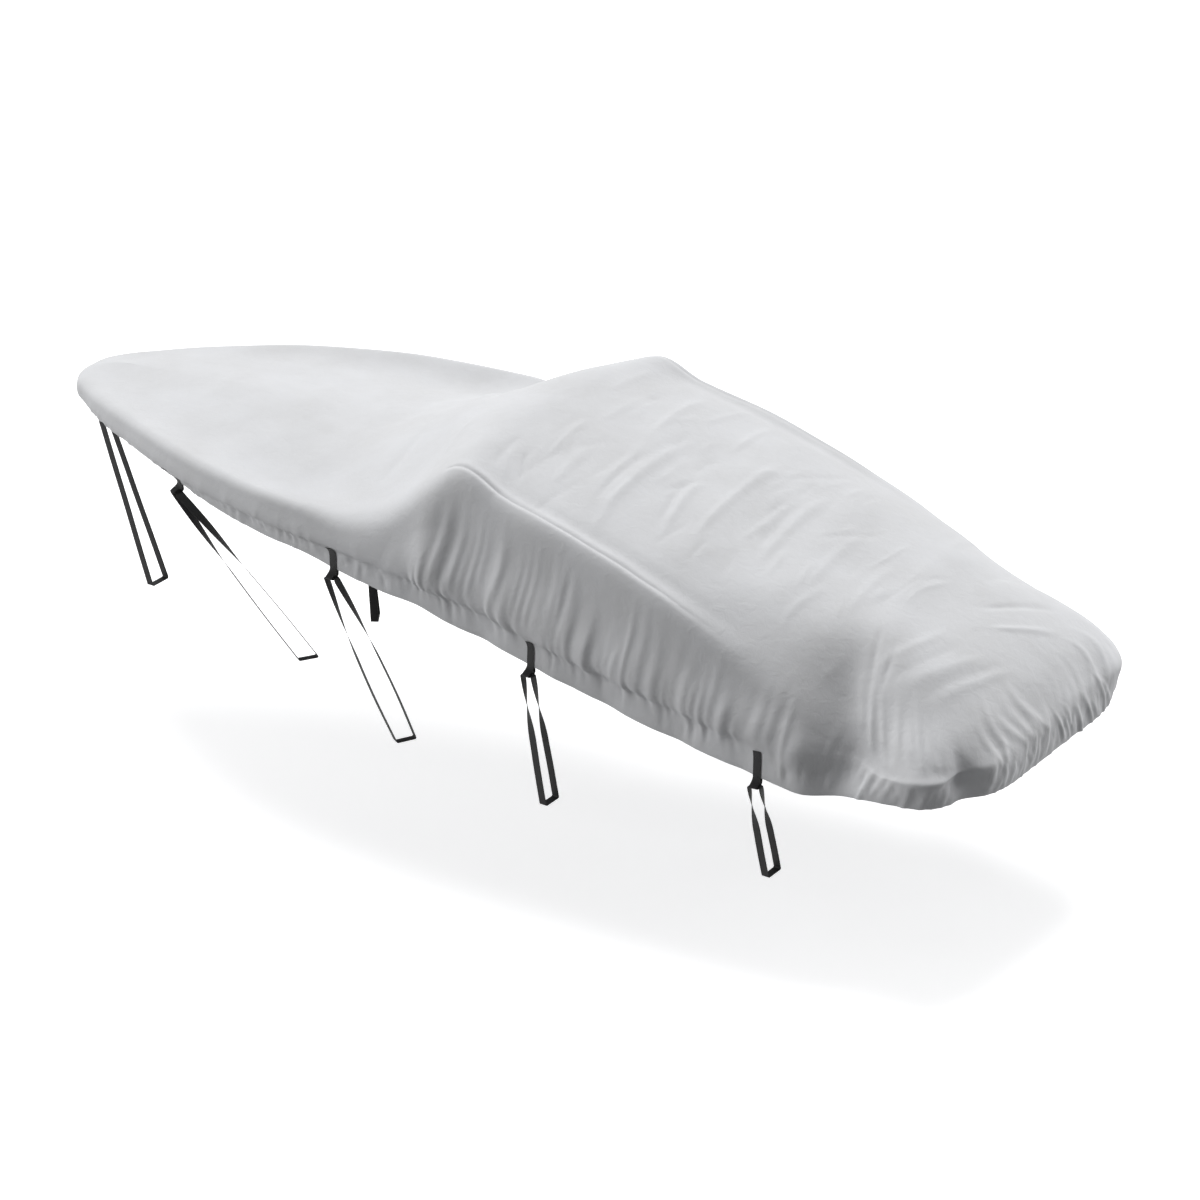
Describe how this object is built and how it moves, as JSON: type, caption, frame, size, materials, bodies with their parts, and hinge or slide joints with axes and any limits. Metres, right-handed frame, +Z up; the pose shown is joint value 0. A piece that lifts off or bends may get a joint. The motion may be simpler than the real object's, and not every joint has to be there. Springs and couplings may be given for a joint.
{
  "type": "boat cover",
  "caption": "Fitted trailering cover for an open runabout: a hollow cloth shell peaked over the windscreen, with webbing tabs on its hem and looped tie-down straps.",
  "frame": {"origin": "point on the boat's centre line under the cover's top, where the windscreen carries the cloth, against its underside", "axes": "+X forward to the bow, +Y to port, +Z up; the boat is level"},
  "size_m": [6.8539, 2.4584, 1.973],
  "materials": {
    "cloth": "light grey coated woven polyester, matt, softly creased",
    "webbing": "black woven polypropylene webbing, matt with a slight sheen"
  },
  "bodies": {
    "root": {"cover": "cloth", "tab_bow": "webbing", "tab_port_1": "webbing", "tab_port_2": "webbing", "tab_port_3": "webbing", "tab_port_4": "webbing", "tab_starboard_1": "webbing", "tab_starboard_2": "webbing", "tab_starboard_3": "webbing", "tab_starboard_4": "webbing", "strap_bow": "webbing", "strap_port_1": "webbing", "strap_port_2": "webbing", "strap_port_3": "webbing", "strap_port_4": "webbing", "strap_starboard_1": "webbing", "strap_starboard_2": "webbing", "strap_starboard_3": "webbing", "strap_starboard_4": "webbing"}
  },
  "joints": []
}
